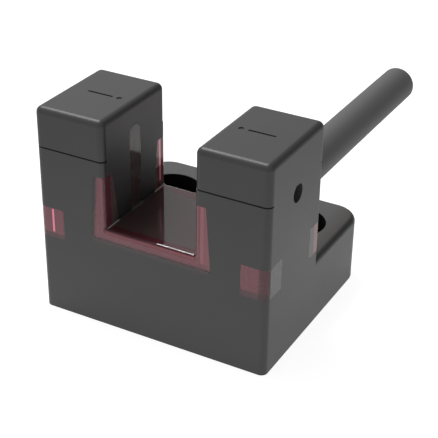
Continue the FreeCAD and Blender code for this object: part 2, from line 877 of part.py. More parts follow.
os.makedirs("parts", exist_ok=True)
for name, shape in all_parts().items():
    shape.exportStep(os.path.join("parts", name + ".step"))
    box = shape.BoundBox
    print(name, "solids", len(shape.Solids), "valid", shape.isValid(), "volume",
          round(shape.Volume, 1), "box", [round(v, 2) for v in
          (box.XMin, box.XMax, box.YMin, box.YMax, box.ZMin, box.ZMax)])
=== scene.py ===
# %% [markdown]
# # A fork sensor, dressed for its picture
#
# The sensor looks across its slot with a beam of light. Its housing is moulded in two shots:
# a clear red body first, then a black shell round it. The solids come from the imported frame,
# which never moves. This file gives them their finish, puts finer pieces over some of them,
# and sets up the camera, the light and a plain floor. All lengths are metres.

import json
import math

import bmesh
import bpy
import numpy as np
from mathutils import Matrix, Vector
from mathutils.bvhtree import BVHTree

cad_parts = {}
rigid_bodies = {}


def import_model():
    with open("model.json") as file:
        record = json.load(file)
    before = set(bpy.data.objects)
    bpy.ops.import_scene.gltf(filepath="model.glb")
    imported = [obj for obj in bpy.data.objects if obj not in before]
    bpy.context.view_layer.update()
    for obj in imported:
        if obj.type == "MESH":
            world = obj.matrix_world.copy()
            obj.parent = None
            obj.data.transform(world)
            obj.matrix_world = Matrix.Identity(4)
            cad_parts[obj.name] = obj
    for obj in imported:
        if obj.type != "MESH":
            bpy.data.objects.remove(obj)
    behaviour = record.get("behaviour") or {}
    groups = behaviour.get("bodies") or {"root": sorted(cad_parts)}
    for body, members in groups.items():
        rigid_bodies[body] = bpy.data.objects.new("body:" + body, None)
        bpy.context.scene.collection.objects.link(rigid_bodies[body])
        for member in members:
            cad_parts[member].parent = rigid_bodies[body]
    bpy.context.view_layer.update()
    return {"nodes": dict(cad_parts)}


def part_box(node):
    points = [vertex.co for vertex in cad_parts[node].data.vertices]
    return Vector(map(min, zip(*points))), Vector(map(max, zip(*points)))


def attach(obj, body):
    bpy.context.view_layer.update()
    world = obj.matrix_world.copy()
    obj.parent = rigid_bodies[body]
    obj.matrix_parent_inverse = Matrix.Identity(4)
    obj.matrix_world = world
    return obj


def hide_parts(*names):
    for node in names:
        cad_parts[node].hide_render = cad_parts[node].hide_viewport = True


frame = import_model()
MM = 0.001

# %% [markdown]
# ## The camera
#
# The picture was taken from the front right and from above, with a long lens, so that far
# edges shrink only a little. A camera can be placed by eye, or by solving for it: here the
# angles, the distance and the field of view were fitted to the outline and the edges of the
# object at some two hundred places, and they leave a quarter of a pixel. Three unit vectors
# say how the camera stands.

# %% Camera
azimuth = math.radians(28.400)
elevation = math.radians(29.621)
roll = math.radians(0.860)
sensor_width_mm = 36.0
lens_mm = 98.999
eye = Vector((77.979, -140.511, 103.362)) * MM

backwards = Vector((math.sin(azimuth) * math.cos(elevation),
                    -math.cos(azimuth) * math.cos(elevation), math.sin(elevation)))
level_right = Vector((math.cos(azimuth), math.sin(azimuth), 0))
level_up = backwards.cross(level_right)
right = math.cos(roll) * level_right + math.sin(roll) * level_up
up = math.cos(roll) * level_up - math.sin(roll) * level_right
camera_data = bpy.data.cameras.new("camera")
camera_data.sensor_width = sensor_width_mm
camera_data.lens = lens_mm
camera = bpy.data.objects.new("camera", camera_data)
turn = Matrix((right, up, backwards)).transposed()
camera.matrix_world = Matrix.Translation(eye) @ turn.to_4x4()
scene_objects = bpy.context.scene.collection.objects
scene_objects.link(camera)
bpy.context.scene.camera = camera
print("camera at", [round(value / MM, 1) for value in eye], "mm, lens", lens_mm)

# %% [markdown]
# ## The cable's line
#
# A cable is a length of something that bends, so its line comes first and everything on it
# follows. This one is short and stiff. It leaves the back of the right prong straight and
# droops by less than half a millimetre. Three control points and a NURBS spline of order
# three give that smooth line. Blender turns the spline into points, and a small class
# walks along them.

# %% Route of the cable
cable_route = [Vector(point) * MM for point in
               ((13.05, -3.8, 21.5), (13.05, 19.8, 21.5), (13.05, 43.8, 21.1))]
cable_diameter = 5.8 * MM
cable_bore = 3.7 * MM


def plain_mesh(holder):
    """The plain mesh of a curve or of a tree of nodes, whose holder is then removed."""
    ready = holder.evaluated_get(bpy.context.evaluated_depsgraph_get())
    mesh = bpy.data.meshes.new_from_object(ready)
    holder.modifiers.clear()
    bpy.data.objects.remove(holder)
    return mesh


def spline_points(route):
    """The points that Blender makes along a NURBS spline through the route."""
    data = bpy.data.curves.new("route", "CURVE")
    data.dimensions = "3D"
    data.resolution_u = 16
    spline = data.splines.new("NURBS")
    spline.points.add(len(route) - 1)
    for point, place in zip(spline.points, route):
        point.co = (*place, 1.0)
    spline.order_u = 3
    spline.use_endpoint_u = True
    holder = bpy.data.objects.new("route", data)
    scene_objects.link(holder)
    mesh = plain_mesh(holder)
    points = [vertex.co.copy() for vertex in mesh.vertices]
    bpy.data.meshes.remove(mesh)
    return points


class Line:
    """A line through points that is walked by distance, and goes on straight past its ends."""

    def __init__(self, points):
        self.points = points
        steps = [(b - a).length for a, b in zip(points, points[1:])]
        self.marks = np.concatenate([[0.0], np.cumsum(steps)])
        self.length = float(self.marks[-1])

    def at(self, distance):
        """The place and the direction of the line there."""
        index = int(np.clip(np.searchsorted(self.marks, distance) - 1, 0, len(self.points) - 2))
        first, second = self.points[index], self.points[index + 1]
        way = (second - first).normalized()
        return first + way * (distance - self.marks[index]), way


cable_line = Line(spline_points(cable_route))
print("cable line:", len(cable_line.points), "points,", round(cable_line.length / MM, 2), "mm")

# %% [markdown]
# ## Making a piece
#
# Every piece is a mesh whose object sits at the origin, with its place in the mesh, because
# the export puts every object there. A piece rides on a body of the frame, and where it
# stands for a node of the frame, that node is hidden. Round pieces along a line are turned
# like on a lathe: a profile gives distances and radii, and each becomes a ring.

# %% Helpers for pieces
crease_degrees = 40


def piece_from(mesh, name, material=None, body="sensor", replaces=()):
    """An object at the origin that shows the mesh and rides on a body."""
    piece = bpy.data.objects.new(name, mesh)
    scene_objects.link(piece)
    if material:
        mesh.materials.clear()
        mesh.materials.append(material)
    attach(piece, body)
    if replaces:
        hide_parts(*replaces)
    return piece


def mesh_from(sheet, name, smooth=False):
    """The plain mesh of a sheet of faces, smooth between its creases where that is wanted."""
    mesh = bpy.data.meshes.new(name)
    sheet.to_mesh(mesh)
    sheet.free()
    if smooth:
        mesh.shade_smooth()
        mesh.set_sharp_from_angle(angle=math.radians(crease_degrees))
    return mesh


def turned(name, line, profile, sides, aside=Vector()):
    """A closed shape of rings round the line: the profile is a loop of distance and radius."""
    sheet = bmesh.new()
    rings = []
    for distance, radius in profile:
        centre, way = line.at(distance)
        across = Vector((0, 0, 1)).cross(way).normalized()
        upright = way.cross(across)
        angles = [math.tau * k / sides for k in range(sides if radius else 1)]
        rings.append([sheet.verts.new(centre + aside + radius * (math.cos(a) * across
                                                                 + math.sin(a) * upright))
                      for a in angles])
    closed = rings + rings[:1] if profile[0][1] else rings
    for one, other in zip(closed, closed[1:]):
        for k in range(sides):
            (a, b), (d, c) = [[ring[(k + step) % len(ring)] for ring in (one, other)]
                              for step in (0, 1)]
            corners = list(dict.fromkeys((a, b, c, d)))
            if len(corners) > 2:
                sheet.faces.new(corners)
    bmesh.ops.recalc_face_normals(sheet, faces=sheet.faces)
    return mesh_from(sheet, name, smooth=True)


def evenly(start, end, count):
    """Numbers from start to end in equal steps."""
    return [start + (end - start) * k / (count - 1) for k in range(count)]


print("helpers for pieces are ready")

# %% [markdown]
# ## Writing materials as sums
#
# A material is a small network of nodes. Written as links it is hard to read, so two small
# classes help. A Wire stands for the output of a node, and adding, multiplying or
# subtracting wires adds the Math nodes. A Paint adds any other node with one method, and
# has a few more methods for what many finishes share.

# %% Wires
def new_node(tree, kind, settings, values):
    """A node of any kind: its settings first, then the values or links of its sockets."""
    node = tree.nodes.new(kind)
    for key, value in (settings or {}).items():
        setattr(node, key, value)
    for key, value in (values or {}).items():
        source = getattr(value, "socket", value)
        if isinstance(source, bpy.types.NodeSocket):
            tree.links.new(source, node.inputs[key])
        else:
            node.inputs[key].default_value = value
    return node


class Wire:
    """The output of a shader node, which can be used in sums."""

    def __init__(self, paint, socket):
        self.paint, self.socket = paint, socket

    def _math(self, operation, *values):
        return self.paint.add("ShaderNodeMath", {"operation": operation},
                              dict(enumerate(values)))

    def __add__(self, other):
        return self._math("ADD", self, other)

    __radd__ = __add__

    def __sub__(self, other):
        return self._math("SUBTRACT", self, other)

    def __rsub__(self, other):
        return self._math("SUBTRACT", other, self)

    def __mul__(self, other):
        return self._math("MULTIPLY", self, other)

    __rmul__ = __mul__

    def above(self, limit):
        """1 where the value is more than the limit, else 0."""
        return self._math("GREATER_THAN", self, limit)

    def below(self, limit):
        """1 where the value is less than the limit, else 0."""
        return self._math("LESS_THAN", self, limit)

    def absolute(self):
        """The value without its sign."""
        return self._math("ABSOLUTE", self)

    def ramp(self, low, high):
        """0 at the low value, 1 at the high one, and smooth between."""
        return self.paint.add("ShaderNodeMapRange", {"interpolation_type": "SMOOTHSTEP"}, {
            "Value": self, "From Min": low, "From Max": high})

    def within(self, low, high, soft=0.05):
        """1 between two values, with soft ends."""
        return self.ramp(low - soft, low + soft) * (1 - self.ramp(high - soft, high + soft))


print("wires can be used in sums")

# %% Paint
class Paint:
    """A material that is being put together."""

    library = "materials"
    mix_factor, mix_first, mix_second, mix_result = 0, 6, 7, 2

    def __init__(self, name):
        self.owner = getattr(bpy.data, self.library).new(name)
        self.owner.use_nodes = True
        self.tree = self.owner.node_tree
        self.tree.nodes.clear()

    def add(self, kind, settings=None, values=None, output=0):
        """A node of any kind, and a wire from one of its outputs."""
        node = new_node(self.tree, kind, settings, values)
        return Wire(self, node.outputs[output]) if node.outputs else None

    def place(self):
        """The object's own coordinates, in metres."""
        return self.add("ShaderNodeTexCoord", output="Object")

    def coordinates(self):
        """The place in millimetres, as three wires."""
        apart = {"Vector": self.place()}
        return [self.add("ShaderNodeSeparateXYZ", {}, apart, output=axis) * (1 / MM)
                for axis in range(3)]

    def noise(self, size_mm, detail=2.0, squeeze=None):
        """Soft noise from 0 to 1 with spots of about that size, drawn out by the squeeze."""
        place = self.place()
        if squeeze:
            place = self.add("ShaderNodeMapping", {}, {"Vector": place, "Scale": squeeze})
        return self.add("ShaderNodeTexNoise", {}, {
            "Vector": place, "Scale": 1.0 / (size_mm * MM), "Detail": detail})

    def blend(self, factor, *ends):
        """One colour that goes over into another: wires, or red, green and blue."""
        first, second = [end if isinstance(end, Wire) else colour(*end) for end in ends]
        return self.add("ShaderNodeMix", {"data_type": "RGBA"}, {
            self.mix_factor: factor, self.mix_first: first, self.mix_second: second},
            output=self.mix_result)

    def layers(self, tone, *layers):
        """A colour with others laid over it, each where its own mask says."""
        for mask, over in layers:
            tone = self.blend(mask, tone, over)
        return tone

    def bump(self, height, strength, depth_mm):
        """A normal that follows the height."""
        return self.add("ShaderNodeBump", {}, {
            "Height": height, "Strength": strength, "Distance": depth_mm * MM})

    def surface(self, values):
        """A surface with those values."""
        return self.add("ShaderNodeBsdfPrincipled", {}, values)

    def clear(self, roughness, ior):
        """The surface of clear plastic."""
        return self.surface({"Base Color": colour(1, 1, 1), "Roughness": roughness,
                             "IOR": ior, "Transmission Weight": 1.0})

    def soak(self, tint, density_per_mm):
        """What the inside of clear plastic takes out of the light on its way."""
        return self.add("ShaderNodeVolumeAbsorption", {}, {
            "Color": colour(*tint), "Density": density_per_mm / MM})

    def mixed(self, factor, first, second):
        """Two surfaces, the second as far as the factor says."""
        return self.add("ShaderNodeMixShader", {}, {0: factor, 1: first, 2: second})

    def finish(self, surface, volume=None):
        """The finished material, with a volume where it is clear."""
        ends = {"Surface": surface, "Volume": volume} if volume else {"Surface": surface}
        self.add("ShaderNodeOutputMaterial", {}, ends)
        return self.owner


def colour(red, green, blue):
    """A colour in linear light, as Blender's sockets take it."""
    return (red, green, blue, 1.0)


print("a paint adds any node to", Paint.library)

# %% [markdown]
# ## Black moulded plastic
#
# The housing has the even, fine grain that a spark-eroded mould leaves. It could be a
# picture of grain, but a picture has a size and a seam. Noise in the object's own
# coordinates has neither. Two layers do it: a very fine one for the grain's bumps, and a
# broad one that makes the gloss a little uneven, as handling does. Masks in the same
# coordinates paint light and shade into the tone: painted shade makes the tops and the
# slot's sides darker, painted light makes the flange's top paler, a little painted red glow
# falls below the band, and the screw holes and the slot's lower corners are painted in dark
# shade without gloss.

# %% Places on the sensor, in millimetres
front, prong_back, body_top = -16.95, -0.2, 33.2
flange_top, slot_floor, cap_foot = 10.8, 16.4, 26.9
slot_half, body_half = 7.3, 18.8
band_foot, band_top, band_half, band_lean = 14.5, 24.6, 9.9, 0.0746
hole_aside, hole_back, hole_radius = 11.2, 8.05, 4.7
beam_window = (-10.05, -7.05)
print("the slot is", 2 * slot_half, "mm wide and", round(body_top - slot_floor, 1), "mm deep")

# %% Grained plastics
cloud_mm, cloud_detail = 7.0, 3.0


def mould_finish(paint, dark, light, roughness, grain_mm=0.16, grain_depth_mm=0.004):
    """The tone, the roughness and the normal that a grained mould leaves."""
    grain, cloud = paint.noise(grain_mm), paint.noise(cloud_mm, cloud_detail)
    return (paint.blend(grain * 0.35 + cloud * 0.65, dark, light),
            cloud * 0.08 + grain * 0.05 + (roughness - 0.065),
            paint.bump(grain, 0.5, grain_depth_mm))


def grained_plastic(name, dark, light, roughness, **grain_sizes):
    """A moulded plastic with fine grain and slightly uneven gloss."""
    paint = Paint(name)
    tone, gloss, normal = mould_finish(paint, dark, light, roughness, **grain_sizes)
    return paint.finish(paint.surface({
        "Base Color": tone, "Roughness": gloss, "Normal": normal}))


def shell_plastic():
    """The shell's plastic, with painted shade, painted light and dull, shaded places."""
    paint = Paint("shell_black")
    tone, roughness, normal = mould_finish(paint, (0.033, 0.033, 0.034), (0.045, 0.045, 0.046),
                                           0.42)
    x, y, z = paint.coordinates()
    aside = x.absolute()
    # Painted light: the flange's top is painted paler where the prongs and cable would shade it.
    flange_painted_light = z.within(flange_top - 0.05, flange_top + 0.05) * y.above(prong_back + 0.1)
    # Painted light: a faint red glow is painted on the black just below the band.
    painted_red_glow = (y.below(front + 0.05) * aside.below(band_half - 0.3)
                  * z.ramp(band_foot - 0.8, band_foot + 0.1) * z.below(band_foot + 0.2))
    # Painted shade: the slot's sides are painted darker, as the recess between the prongs is.
    slot_painted_shade = (aside.within(slot_half - 0.1, slot_half + 0.1) * y.above(front + 0.35)
               * z.above(slot_floor + 0.05) * (1 - z.ramp(cap_foot - 0.4, cap_foot + 4.1)))
    # Painted shade: the tops are painted darker than the sides.
    top_painted_shade = z.above(body_top - 0.1)
    outside = paint.surface({
        "Base Color": paint.layers(tone, (flange_painted_light * 0.35, (0.09, 0.09, 0.09)),
                                   (painted_red_glow * 0.8, (0.080, 0.052, 0.055)),
                                   (slot_painted_shade * 0.7, (0.018, 0.018, 0.0185)),
                                   (top_painted_shade * 0.8, (0.024, 0.024, 0.0245))),
        "Roughness": roughness, "Specular IOR Level": 0.45, "Normal": normal})
    cloud = paint.noise(cloud_mm, cloud_detail)
    # Painted shade: a near-black, dull surface in the screw holes and in the slot's lower
    # corners.
    dull_shade = paint.surface({
        "Base Color": paint.blend(cloud, (0.004, 0.004, 0.004), (0.007, 0.007, 0.007)),
        "Roughness": cloud * 0.1 + 0.7, "Specular IOR Level": 0.1, "Normal": normal})
    across, along = aside - hole_aside, y - hole_back
    hole_painted_shade = ((across * across + along * along).below((hole_radius + 0.05) ** 2)
               * z.within(0.3, flange_top - 0.15))
    corner_painted_shade = (aside.within(slot_half - 0.4, slot_half + 0.05)
                 * z.within(slot_floor - 0.1, slot_floor + 0.4) * y.below(prong_back)
                 * (1 - y.within(*beam_window)))
    return paint.finish(paint.mixed(hole_painted_shade + corner_painted_shade * 0.6, outside, dull_shade))


shell_black = shell_plastic()
cover_black = grained_plastic("cover_black", (0.026, 0.026, 0.027), (0.036, 0.036, 0.037), 0.5,
                              grain_mm=0.22, grain_depth_mm=0.006)
print("plastics:", shell_black.name, cover_black.name)

# %% [markdown]
# ## Clear red plastic
#
# The red body is polished and clear, so its look comes from what light does inside it. A
# tinted surface would colour every ray the same. Real plastic colours light by the way it
# goes through: the thin edges are pink and the thick middle is nearly black. So the surface
# is clear glass-like plastic, and the colour is in the volume, which soaks up green and
# blue faster than red. At the front the faces are frosted, so that the indicator light
# spreads evenly there. Those fields look milky pink, with painted shade on greyer rims and
# painted highlights on brighter places, and the strips in the slot are milky too, with
# painted glints at their feet and a painted dark line along the slot's edge. The underside
# of the body is matt, and two thin rays of painted glow leave it at a corner window and at a
# rear edge.

# %% Clear red
def red_plastic():
    """The clear red, with its milky fields, painted light and shade, and a painted glow where
    its edges let light out.
    """
    paint = Paint("clear_red")
    x, y, z = paint.coordinates()
    wide, left = x.absolute(), x.below(0.0)

    # The band round the slot on the front
    band = y.below(front + 0.25) * wide.below(band_half + 0.3)
    left_slope = x + (band_top - z) * band_lean
    outer_rim = band * (left * (1 - left_slope.ramp(-8.85, -8.25))
                        + (1 - z.ramp(band_foot + 0.15, band_foot + 0.5)) * 0.85)
    # Painted highlights: brighter fields on the band and a brighter line below the slot's floor.
    painted_highlights = band * z.ramp(15.3, 15.8) * (
        x.within(8.3, 8.8) + x.within(8.8, band_half) * 0.4 + x.within(-7.95, -7.75) * 0.4
        + wide.below(slot_half) * z.within(slot_floor - 0.65, slot_floor - 0.15) * 0.6)
    # Painted shade: a dark red line along the slot's edge on the front.
    painted_dark_edge = z.above(slot_floor - 0.15) * (
        x.within(-slot_half - 0.3, 0.1 - slot_half) * y.below(front + 0.35) * 0.7
        + x.within(slot_half - 0.1, slot_half + 0.2) * y.below(front + 0.65))

    # The windows at the upright corners
    front_window = y.below(front + 0.65) * wide.within(13.0, body_half - 0.1)
    lit = x.within(14.0, 17.42) + x.below(-14.0)
    window_rim = front_window * (1 - (z + left * 0.2).ramp(13.4, 13.65))
    side_window, rear_edge = wide.above(body_half - 0.05), y.above(prong_back - 2.0)

    # The slot's floor and the strips on the inner sides of the prongs
    slot_side = wide.below(slot_half + 0.15) * y.above(front + 0.2)
    wall = slot_side * z.above(slot_floor + 0.35)
    side_strip = wall * (y.below(-13.0) + y.above(-4.0))
    stripe = slot_side * (y.below(-15.3) + y.within(-2.6, -0.5))
    panels = y.within(-13.5, -10.05) + y.within(-7.1, -3.65)
    # Painted highlights: pale glints at the foot of the slot's sides, where the red shows.
    painted_glints = ((1 - panels) * wide.within(slot_half - 0.35, slot_half - 0.05)
              * z.within(slot_floor + 0.02, slot_floor + 0.32))
    upper = z.ramp(20.0, 20.4)
    # Painted light: a pale patch on the upper rear strip, as if light came through it, and the
    # painted glints.
    painted_backlight_and_glints = wall * y.within(-3.75, -1.95) * upper + painted_glints
    rear_ray = wall * y.within(-2.05, -1.6) * z.within(17.6, 24.5, 0.1) * (upper * 0.7 + 0.3)
    # Painted glow: emission, not a lamp, stands for light that leaves the red at a rear edge and
    # a corner window.
    window_ray = (x.within(-16.62, -16.30, 0.06) * z.within(13.5, 17.3, 0.1)
                  * y.below(front + 0.05))

    # The tones of the milky plastic, and its share of each place
    cloud, streaks = paint.noise(1.6), paint.noise(0.35, detail=1.0, squeeze=(1.0, 1.0, 0.03))
    pink = paint.blend(cloud * 0.5 + streaks * 0.5, (0.19, 0.068, 0.083), (0.26, 0.097, 0.116))
    # Painted shade: greyer rims round the band and the front windows, and greyer side windows.
    painted_shade_places = side_window * (1 - rear_edge) + outer_rim + window_rim * 0.75
    tone = paint.layers(pink, (painted_highlights, (0.36, 0.135, 0.155)),
                        (painted_shade_places, (0.045, 0.040, 0.040)),
                        (slot_side, (0.105, 0.074, 0.074)), (stripe, (0.09, 0.022, 0.030)),
                        (painted_dark_edge * 0.8, (0.07, 0.022, 0.030)),
                        (painted_backlight_and_glints, (0.25, 0.243, 0.24)))
    glow = paint.blend(window_ray + rear_ray * 0.6, (0, 0, 0), (0.78, 0.21, 0.30))
    milky = paint.surface({"Base Color": tone, "Roughness": 0.12, "IOR": 1.45,
                           "Emission Color": glow, "Emission Strength": 1.0})
    share = (band * 0.60 + front_window * (lit * 0.36 + 0.24) + window_rim * 0.2
             + side_window * (rear_edge * 0.15 + 0.57) + slot_side * 0.3 + side_strip * 0.3
             + stripe * 0.2 + painted_glints * 0.7 + 0.1)
    matt = paint.add("ShaderNodeBsdfDiffuse", {}, {"Color": colour(0.12, 0.05, 0.05)})
    underside = wide.below(9.0) * y.above(front + 0.05) * z.below(band_foot + 0.05)
    polished = paint.mixed(share, paint.clear(0.03, 1.5), milky)
    return paint.finish(paint.mixed(underside, polished, matt),
                        paint.soak((0.81, 0.08, 0.27), 1.3))


clear_red = red_plastic()
print("clear plastic:", clear_red.name)

# %% [markdown]
# ## Rubber, metal, ceramic and resin
#
# The cable's jacket is drawn through a die, so it has faint lines along its length and a
# satin gloss. The small parts inside have finishes of their own: matt moulding compound,
# glossy solder mask, tin, copper and clear resin. Each has a little variation of its own.

# %% Other finishes
def drawn_plastic(name, dark, light, roughness, line_mm=0.5):
    """Plastic drawn through a die: its noise is stretched along the cable."""
    paint = Paint(name)
    lines = paint.noise(line_mm, squeeze=(1.0, 0.02, 1.0))
    specks = paint.noise(0.12, detail=1.0)
    return paint.finish(paint.surface({
        "Base Color": paint.blend(lines * 0.7 + specks * 0.3, dark, light),
        "Roughness": lines * 0.08 + (roughness - 0.04),
        "Normal": paint.bump(lines * 0.6 + specks * 0.4, 0.35, 0.01)}))


def bare_metal(name, dark, light, roughness):
    """Metal with a faintly cloudy surface."""
    paint = Paint(name)
    cloud = paint.noise(0.3, detail=3.0)
    return paint.finish(paint.surface({
        "Base Color": paint.blend(cloud, dark, light), "Metallic": 1.0,
        "Roughness": cloud * 0.2 + (roughness - 0.1), "Normal": paint.bump(cloud, 0.3, 0.004)}))


def circuit_finish():
    """Green solder mask over copper tracks, which show as slightly raised, lighter lines."""
    paint = Paint("board_green")
    turned_up = paint.add("ShaderNodeMapping", {}, {
        "Vector": paint.place(), "Rotation": (math.radians(90), 0.0, 0.0)})
    tracks = paint.add("ShaderNodeTexBrick", {"offset": 0.37}, {
        "Vector": turned_up, "Scale": 1.0 / MM, "Mortar Size": 0.12, "Brick Width": 3.1,
        "Row Height": 0.85}, output="Fac")
    cloud = paint.noise(1.2)
    return paint.finish(paint.surface({
        "Base Color": paint.blend(tracks * 0.7 + cloud * 0.3, (0.010, 0.075, 0.030),
                                  (0.030, 0.190, 0.075)),
        "Roughness": cloud * 0.1 + 0.25, "Coat Weight": 0.4,
        "Normal": paint.bump(tracks, 0.6, 0.035)}))


jacket_black = drawn_plastic("jacket_black", (0.074, 0.074, 0.076), (0.092, 0.092, 0.094), 0.6)
core_colours = {"brown": (0.12, 0.045, 0.02), "white": (0.72, 0.71, 0.68),
                "blue": (0.02, 0.08, 0.36), "black": (0.014, 0.014, 0.015)}
core_finishes = {name: drawn_plastic("insulation_" + name, tuple(0.85 * c for c in tone), tone,
                                     0.35, line_mm=0.2)
                 for name, tone in core_colours.items()}
rubber = grained_plastic("rubber", (0.016, 0.016, 0.016), (0.024, 0.024, 0.024), 0.62,
                         grain_mm=0.3, grain_depth_mm=0.008)
copper = bare_metal("copper", (0.72, 0.36, 0.20), (0.93, 0.52, 0.33), 0.3)
tin = bare_metal("tin", (0.55, 0.55, 0.53), (0.75, 0.75, 0.73), 0.35)
dark_sheet = bare_metal("dark_sheet", (0.03, 0.03, 0.03), (0.06, 0.06, 0.06), 0.45)
board_green = circuit_finish()
compound = grained_plastic("compound", (0.012, 0.012, 0.013), (0.022, 0.022, 0.023), 0.55,
                           grain_mm=0.1)
yellow_case = grained_plastic("yellow_case", (0.55, 0.32, 0.05), (0.70, 0.44, 0.09), 0.45)
ceramic = grained_plastic("ceramic", (0.32, 0.22, 0.13), (0.42, 0.30, 0.18), 0.4, grain_mm=0.08)
glaze = grained_plastic("glaze", (0.010, 0.010, 0.012), (0.020, 0.020, 0.024), 0.25,
                        grain_mm=0.2)
trimmer_blue = grained_plastic("trimmer_blue", (0.015, 0.060, 0.26), (0.025, 0.085, 0.34), 0.35)
white_plastic = grained_plastic("white_plastic", (0.62, 0.61, 0.57), (0.75, 0.74, 0.70), 0.4)
dark_resin = grained_plastic("dark_resin", (0.010, 0.006, 0.012), (0.018, 0.012, 0.020), 0.12,
                             grain_mm=0.4, grain_depth_mm=0.001)
resin = Paint("clear_resin")
clear_resin = resin.finish(resin.clear(0.05, 1.52), resin.soak((0.70, 0.80, 0.95), 0.10))
print("finishes:", len(bpy.data.materials))

# %% [markdown]
# ## Taking over the moulded solids
#
# The frame's meshes are loose triangles, which would show as facets on the rounded edges.
# They aren't touched. A copy is merged instead, and triangles that lie in one plane are
# joined to one large face. Then the normal at each corner of a face is a mean of the faces
# round it that look much the same way, weighted by the square of the area of each one's
# whole plane. A flat side stays flat to its very edge, which a glossy surface needs, and the
# small radii between flat sides look round.

# %% Smooth copies of nodes
def merged_mesh(node, name, flat_degrees=0.1):
    """A copy of a node's mesh with its triangles joined, and with whole flat faces."""
    sheet = bmesh.new()
    sheet.from_mesh(frame["nodes"][node].data)
    bmesh.ops.remove_doubles(sheet, verts=sheet.verts, dist=2e-7)
    bmesh.ops.dissolve_degenerate(sheet, edges=sheet.edges, dist=1e-8)
    if flat_degrees:
        bmesh.ops.dissolve_limit(sheet, angle_limit=math.radians(flat_degrees),
                                 use_dissolve_boundaries=False, verts=sheet.verts,
                                 edges=sheet.edges)
    return mesh_from(sheet, name)


def with_even_normals(mesh, sharp_degrees=32):
    """The mesh with smooth small radii and flat large faces."""
    planes, flat_area, around = {}, {}, {}
    for face in mesh.polygons:
        plane = (*(round(part, 3) for part in face.normal),
                 round(face.normal.dot(face.center) / MM, 2))
        planes[face.index] = plane
        flat_area[plane] = flat_area.get(plane, 0.0) + face.area / MM ** 2
        for index in face.vertices:
            around.setdefault(index, []).append(face)
    limit = math.cos(math.radians(sharp_degrees))
    normals = []
    for face in mesh.polygons:
        for index in face.vertices:
            sharing = [other for other in around[index] if other.normal.dot(face.normal) > limit]
            normals.append(sum((other.normal * flat_area[planes[other.index]] ** 2
                                for other in sharing), Vector()).normalized())
    mesh.shade_smooth()
    mesh.normals_split_custom_set(normals)
    return mesh


def moulded(node, name, material, body="sensor"):
    """A smooth copy that stands for the node."""
    piece = piece_from(with_even_normals(merged_mesh(node, name)), name, material, body, [node])
    print(name, "faces:", len(piece.data.polygons))
    return piece


moulded("housing_shell", "shell_moulding", shell_black)
moulded("receiver_cap", "right_cap", shell_black)
moulded("emitter_cap", "left_cap", shell_black)
moulded("base_cover", "bottom_cover", cover_black)
moulded("cable_grommet", "cable_bush", rubber)

# %% [markdown]
# ## The red body and its air gap
#
# Where the red touches the black, both solids have a face in the same place, and a ray can't
# tell which it meets first. In the real part the red shrinks a little as it cools, and a
# breath of air stays between the two. That gap is what makes the red a light guide: light
# that comes in at the front is mirrored at the sides and goes on to the back. So each
# touching face of the red is moved a hundredth of a millimetre inwards. A corner point
# belongs to several faces, and it goes where all of them are as they should be. The faces
# that are open to the air stay exactly where they are.

# %% Red body
def touching_faces(mesh, neighbour, reach=2e-6, toward_corner=0.85, opposite=-0.9):
    """Which faces of the mesh lie on a face of the neighbour that looks the other way."""
    points = [vertex.co for vertex in neighbour.vertices]
    tree = BVHTree.FromPolygons(points, [tuple(face.vertices) for face in neighbour.polygons])
    touching = set()
    for triangle in mesh.loop_triangles:
        corners = [mesh.vertices[index].co for index in triangle.vertices]
        centre = sum(corners, Vector()) / 3
        for sample in [centre] + [centre.lerp(corner, toward_corner) for corner in corners]:
            place, normal, _, _ = tree.find_nearest(sample, reach)
            if place is not None and normal.dot(triangle.normal) < opposite:
                touching.add(triangle.polygon_index)
    return touching


def shrink(mesh, neighbour, gap, same_way=0.99999):
    """Moves the touching faces of the mesh inwards by the gap, and counts them."""
    mesh.calc_loop_triangles()
    touching = touching_faces(mesh, neighbour)
    wanted = {}
    for face in mesh.polygons:
        shift = -gap if face.index in touching else 0.0
        for index in face.vertices:
            known = wanted.setdefault(index, [])
            if all(face.normal.dot(normal) < same_way or shift != old for normal, old in known):
                known.append((face.normal.copy(), shift))
    for index, demands in wanted.items():
        rows = np.array([normal for normal, _ in demands])
        move = np.linalg.pinv(rows, rcond=0.1) @ np.array([shift for _, shift in demands])
        mesh.vertices[index].co += Vector(move)
    return len(touching)


air_gap = 0.01 * MM
red_mesh = merged_mesh("light_body", "red_moulding")
shell_mesh = merged_mesh("housing_shell", "neighbour", flat_degrees=0)
touching_count = shrink(red_mesh, shell_mesh, air_gap)
piece_from(with_even_normals(red_mesh), "red_moulding", clear_red, replaces=["light_body"])
print("red body:", len(red_mesh.polygons), "faces, with an air gap:", touching_count)

# %% [markdown]
# ## The cable and its cores
#
# The jacket is a tube with a square cut at its far end, where the four coloured cores show.
# A bare tube with a flat end would look like a rod, so its rim is slightly rounded and its
# bore is real.
# In the picture the flange below shows neither a dark mirror image nor a shadow of the
# cable, so the cable is left out of mirror rays, diffuse rays and shadow rays.

# %% Cable
def tube_profile(start, end, outer, inner, rim, steps):
    """A loop of distance and radius: out along the bore's end, along the outside and back."""
    outside = [(distance, outer) for distance in evenly(start + rim, end - rim, steps)]
    inside = [(distance, inner) for distance in evenly(end, start, steps)]
    rounding = [(end - 0.3 * rim, outer - 0.3 * rim), (end, outer - rim)]
    return [(start, outer - rim)] + outside + rounding + inside


cable_end = cable_line.length
jacket_mesh = turned("cable_outer", cable_line,
                     tube_profile(0.0, cable_end, cable_diameter / 2, cable_bore / 2,
                                  rim=0.15 * MM, steps=24), sides=48)
jacket = piece_from(jacket_mesh, "cable_outer", jacket_black, replaces=["cable_jacket"])

